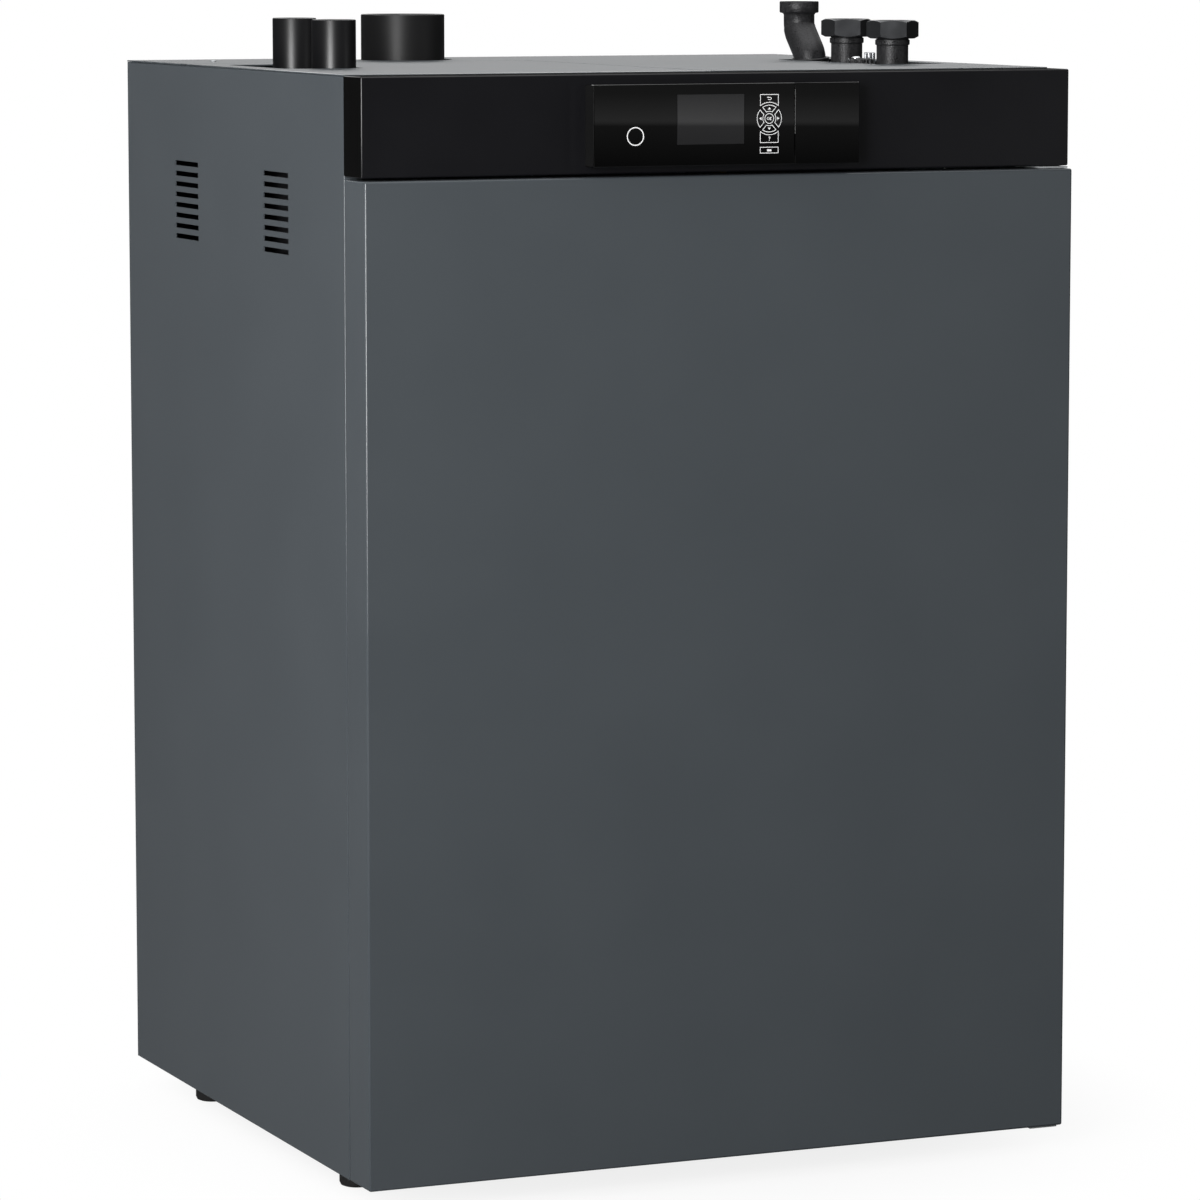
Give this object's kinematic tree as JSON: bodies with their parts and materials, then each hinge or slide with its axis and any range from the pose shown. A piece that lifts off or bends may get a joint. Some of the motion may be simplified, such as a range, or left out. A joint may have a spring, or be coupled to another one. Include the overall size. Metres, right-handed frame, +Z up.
{
  "type": "pellet boiler",
  "caption": "Floor-standing pellet boiler in a dark sheet casing with a full-height front door, a control unit in its fascia, and flue, hose and pipe connections on top.",
  "frame": {"origin": "on the floor, under the middle of the bounding box of the whole boiler", "axes": "+Z up, the longest extent; -Y to the front, where the door is; +X to the side with the pipe connections; +Y is the shortest extent"},
  "size_m": [0.85, 0.804, 1.306],
  "materials": {
    "anthracite_powder_coat": "fine textured, satin",
    "black_satin_paint": "satin",
    "black_gloss_plastic": "high gloss",
    "display_glass": "clear gloss over a dark screen",
    "black_lacquer": "semi gloss",
    "galvanised_sheet": "zinc coated",
    "vessel_paint": "heat resistant, matt",
    "mineral_wool": "matt fibres",
    "cast_iron": "rough casting",
    "blackened_iron": "black coated",
    "die_cast_aluminium": "as cast",
    "motor_enamel": "satin",
    "rubber": "matt",
    "board_resin": "matt",
    "moulded_black": "fine grained"
  },
  "bodies": {
    "casing": {"base_tray": "galvanised_sheet", "left_side_panel": "anthracite_powder_coat", "right_side_panel": "anthracite_powder_coat", "rear_panel": "anthracite_powder_coat", "top_panel": "anthracite_powder_coat", "front_crossbar": "galvanised_sheet", "fascia": "black_satin_paint", "upper_hinge": "galvanised_sheet", "lower_hinge": "galvanised_sheet", "control_housing": "black_gloss_plastic", "display_window": "display_glass", "control_board": "board_resin", "boiler_body": "vessel_paint", "boiler_insulation": "mineral_wool", "burner_pot": "cast_iron", "igniter": "galvanised_sheet", "auger_tube": "galvanised_sheet", "feed_motor": "motor_enamel", "rotary_valve_housing": "die_cast_aluminium", "valve_motor": "motor_enamel", "pellet_hopper": "galvanised_sheet", "suction_separator": "moulded_black", "pellet_hose_stub": "black_lacquer", "return_air_stub": "black_lacquer", "suction_turbine": "motor_enamel", "smoke_box": "vessel_paint", "smoke_duct": "galvanised_sheet", "fan_housing": "die_cast_aluminium", "fan_motor": "motor_enamel", "flue_stub": "black_lacquer", "supply_pipe": "blackened_iron", "return_pipe": "blackened_iron", "swan_neck_bend": "blackened_iron"},
    "front_door": {"front_door": "anthracite_powder_coat"},
    "combustion_door": {"combustion_door": "cast_iron"},
    "combustion_door_handle": {"combustion_door_handle": "black_satin_paint"},
    "ash_box": {"ash_box": "galvanised_sheet"},
    "ash_box_handle": {"ash_box_handle": "galvanised_sheet"},
    "lift_off_cover": {"lift_off_cover": "anthracite_powder_coat"},
    "control_flap": {"control_flap": "black_gloss_plastic"},
    "power_button": {"power_button": "black_gloss_plastic"},
    "key_ok": {"key_ok": "black_gloss_plastic"},
    "key_up": {"key_up": "black_gloss_plastic"},
    "key_down": {"key_down": "black_gloss_plastic"},
    "key_left": {"key_left": "black_gloss_plastic"},
    "key_right": {"key_right": "black_gloss_plastic"},
    "key_back": {"key_back": "black_gloss_plastic"},
    "key_help": {"key_help": "black_gloss_plastic"},
    "key_menu": {"key_menu": "black_gloss_plastic"},
    "feed_auger": {"feed_auger": "galvanised_sheet"},
    "rotary_valve_wheel": {"rotary_valve_wheel": "galvanised_sheet"},
    "burner_grate": {"burner_grate": "cast_iron"},
    "cleaning_rack": {"cleaning_rack": "galvanised_sheet"},
    "fan_impeller": {"fan_impeller": "galvanised_sheet"},
    "supply_union_nut": {"supply_union_nut": "blackened_iron"},
    "return_union_nut": {"return_union_nut": "blackened_iron"},
    "foot_front_left": {"foot_front_left": "rubber"},
    "foot_front_right": {"foot_front_right": "rubber"},
    "foot_rear_left": {"foot_rear_left": "rubber"},
    "foot_rear_right": {"foot_rear_right": "rubber"}
  },
  "joints": [
    {"name": "front_door_hinge", "type": "hinge", "parent": "casing", "child": "front_door", "pos_m": [0.413, -0.376, 0.03], "axis": [0, 0, 1], "range_deg": [0, 110]},
    {"name": "combustion_door_hinge", "type": "hinge", "parent": "casing", "child": "combustion_door", "pos_m": [0.236, -0.277, 0.2899], "axis": [0, 0, 1], "range_deg": [0, 100]},
    {"name": "combustion_door_handle_turn", "type": "hinge", "parent": "combustion_door", "child": "combustion_door_handle", "pos_m": [0.005, -0.2998, 0.4549], "axis": [0, -1, 0], "range_deg": [0, 90]},
    {"name": "ash_box_slide", "type": "slide", "parent": "casing", "child": "ash_box", "axis": [0, -1, 0], "range_m": [0, 0.29]},
    {"name": "ash_box_handle_swing", "type": "hinge", "parent": "ash_box", "child": "ash_box_handle", "pos_m": [0.1005, -0.2774, 0.1649], "axis": [-1, 0, 0], "range_deg": [0, 80]},
    {"name": "lift_off_cover_lift", "type": "slide", "parent": "casing", "child": "lift_off_cover", "axis": [0, 0, 1], "range_m": [0, 0.1]},
    {"name": "control_flap_hinge", "type": "hinge", "parent": "casing", "child": "control_flap", "pos_m": [0.1505, -0.4005, 1.1363], "axis": [0, 0, 1], "range_deg": [0, 110]},
    {"name": "power_button_press", "type": "slide", "parent": "casing", "child": "power_button", "axis": [0, 1, 0], "range_m": [0, 0.002], "stiffness_N_per_m": 600},
    {"name": "key_ok_press", "type": "slide", "parent": "casing", "child": "key_ok", "axis": [0, 1, 0], "range_m": [0, 0.001], "stiffness_N_per_m": 600},
    {"name": "key_up_press", "type": "slide", "parent": "casing", "child": "key_up", "axis": [0, 1, 0], "range_m": [0, 0.001], "stiffness_N_per_m": 600},
    {"name": "key_down_press", "type": "slide", "parent": "casing", "child": "key_down", "axis": [0, 1, 0], "range_m": [0, 0.001], "stiffness_N_per_m": 600},
    {"name": "key_left_press", "type": "slide", "parent": "casing", "child": "key_left", "axis": [0, 1, 0], "range_m": [0, 0.001], "stiffness_N_per_m": 600},
    {"name": "key_right_press", "type": "slide", "parent": "casing", "child": "key_right", "axis": [0, 1, 0], "range_m": [0, 0.001], "stiffness_N_per_m": 600},
    {"name": "key_back_press", "type": "slide", "parent": "casing", "child": "key_back", "axis": [0, 1, 0], "range_m": [0, 0.001], "stiffness_N_per_m": 600},
    {"name": "key_help_press", "type": "slide", "parent": "casing", "child": "key_help", "axis": [0, 1, 0], "range_m": [0, 0.001], "stiffness_N_per_m": 600},
    {"name": "key_menu_press", "type": "slide", "parent": "casing", "child": "key_menu", "axis": [0, 1, 0], "range_m": [0, 0.001], "stiffness_N_per_m": 600},
    {"name": "feed_auger_spin", "type": "hinge", "parent": "casing", "child": "feed_auger", "pos_m": [-0.307, -0.053, 0.2809], "axis": [1, 0, 0], "continuous": true},
    {"name": "rotary_valve_spin", "type": "hinge", "parent": "casing", "child": "rotary_valve_wheel", "pos_m": [-0.255, -0.053, 0.3993], "axis": [0, 1, 0], "continuous": true},
    {"name": "burner_grate_slide", "type": "slide", "parent": "casing", "child": "burner_grate", "axis": [0, -1, 0], "range_m": [0, 0.09]},
    {"name": "cleaning_rack_lift", "type": "slide", "parent": "casing", "child": "cleaning_rack", "axis": [0, 0, 1], "range_m": [0, 0.04]},
    {"name": "fan_impeller_spin", "type": "hinge", "parent": "casing", "child": "fan_impeller", "pos_m": [-0.163, 0.309, 1.01], "axis": [1, 0, 0], "continuous": true},
    {"name": "supply_union_nut_turn", "type": "hinge", "parent": "casing", "child": "supply_union_nut", "pos_m": [0.338, 0.013, 1.266], "axis": [0, 0, 1], "continuous": true},
    {"name": "return_union_nut_turn", "type": "hinge", "parent": "casing", "child": "return_union_nut", "pos_m": [0.338, -0.108, 1.266], "axis": [0, 0, 1], "continuous": true},
    {"name": "foot_front_left_screw_out", "type": "slide", "parent": "casing", "child": "foot_front_left", "axis": [0, 0, -1], "range_m": [0, 0.02]},
    {"name": "foot_front_right_screw_out", "type": "slide", "parent": "casing", "child": "foot_front_right", "axis": [0, 0, -1], "range_m": [0, 0.02]},
    {"name": "foot_rear_left_screw_out", "type": "slide", "parent": "casing", "child": "foot_rear_left", "axis": [0, 0, -1], "range_m": [0, 0.02]},
    {"name": "foot_rear_right_screw_out", "type": "slide", "parent": "casing", "child": "foot_rear_right", "axis": [0, 0, -1], "range_m": [0, 0.02]}
  ],
  "couplings": [
    {"joint": "combustion_door_hinge", "follows": "front_door_hinge", "ratio": 0.9},
    {"joint": "ash_box_slide", "follows": "front_door_hinge", "m_per_rad": 0.15}
  ]
}
